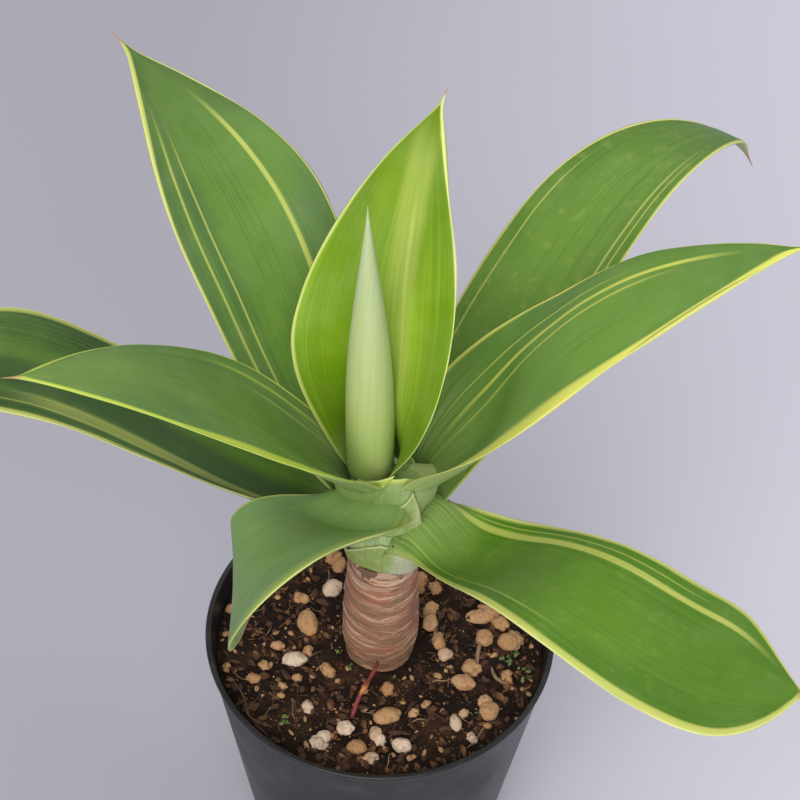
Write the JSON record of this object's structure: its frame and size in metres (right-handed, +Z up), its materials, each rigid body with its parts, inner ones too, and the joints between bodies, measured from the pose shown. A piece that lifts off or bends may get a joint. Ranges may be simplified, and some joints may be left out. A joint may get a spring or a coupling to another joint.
{
  "type": "potted agave",
  "caption": "Variegated agave with broad green leaves edged in yellow, on a short ringed stem in a thin black nursery pot filled with dark soil and small stones.",
  "frame": {"origin": "middle of the pot's flat underside, on the surface that the pot stands on", "axes": "+Z up along the pot's axis; +X to the right and +Y away for someone who looks at the plant's front"},
  "size_m": [0.2238, 0.1572, 0.235],
  "materials": {
    "black_plastic": "satin, thin moulded plastic",
    "soil": "damp dark potting mix, matt",
    "stem_bark": "dry tan bark with ring scars, matt",
    "leaf_green": "waxy dark green with yellow margins",
    "young_leaf_green": "waxy bright lime green",
    "spear_green": "pale powdery grey-green",
    "red_stalk": "dry red stalk",
    "pale_stone": "pale rough stone",
    "tan_stone": "tan rough stone"
  },
  "bodies": {
    "root": {"pot": "black_plastic", "soil": "soil", "stem": "stem_bark", "leaf_1_right_low": "leaf_green", "leaf_2_far_left": "leaf_green", "leaf_3_back_right": "leaf_green", "leaf_4_front": "leaf_green", "leaf_5_back_left": "leaf_green", "leaf_6_right_high": "leaf_green", "leaf_7_left": "leaf_green", "leaf_8_back": "young_leaf_green", "leaf_9_spear": "spear_green", "red_stalk": "red_stalk", "pebble_01": "pale_stone", "pebble_02": "pale_stone", "pebble_03": "pale_stone", "pebble_04": "pale_stone", "pebble_05": "pale_stone", "pebble_06": "pale_stone", "pebble_07": "pale_stone", "pebble_08": "pale_stone", "pebble_09": "tan_stone", "pebble_10": "tan_stone", "pebble_11": "tan_stone", "pebble_12": "tan_stone", "pebble_13": "tan_stone", "pebble_14": "tan_stone", "pebble_15": "tan_stone", "pebble_16": "tan_stone", "pebble_17": "tan_stone", "pebble_18": "tan_stone", "pebble_19": "tan_stone", "pebble_20": "tan_stone", "pebble_21": "tan_stone", "pebble_22": "tan_stone"}
  },
  "joints": []
}
